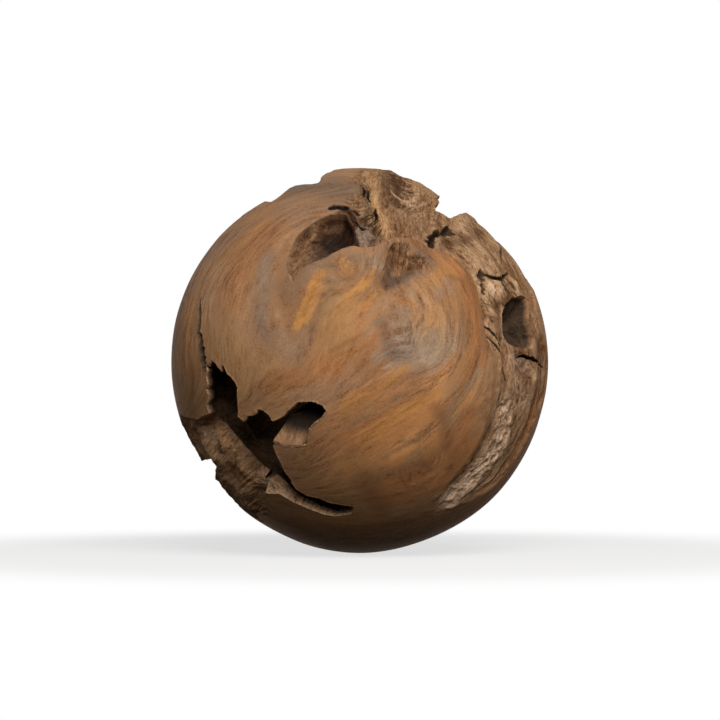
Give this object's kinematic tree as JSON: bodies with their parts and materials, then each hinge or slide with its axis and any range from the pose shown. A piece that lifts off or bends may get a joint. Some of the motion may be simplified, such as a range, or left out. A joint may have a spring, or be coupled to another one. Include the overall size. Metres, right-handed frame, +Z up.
{
  "type": "teak root ball",
  "caption": "Solid ball turned from a teak root: sanded skin with a deep ragged hollow, an eye-shaped pocket, a grown belt round a front lobe, a gap and cracks.",
  "frame": {"origin": "centre of the ball's box, which is the centre of the sanded round to within 2 mm", "axes": "+Z up through the crown, -Y through the front face with the eye-shaped pocket and the root hollow, +X to the right of that face"},
  "size_m": [0.2993, 0.2997, 0.3057],
  "materials": {
    "teak": "satin sanded teak, raw and fibrous in the hollows"
  },
  "bodies": {
    "root": {"ball": "teak"}
  },
  "joints": []
}
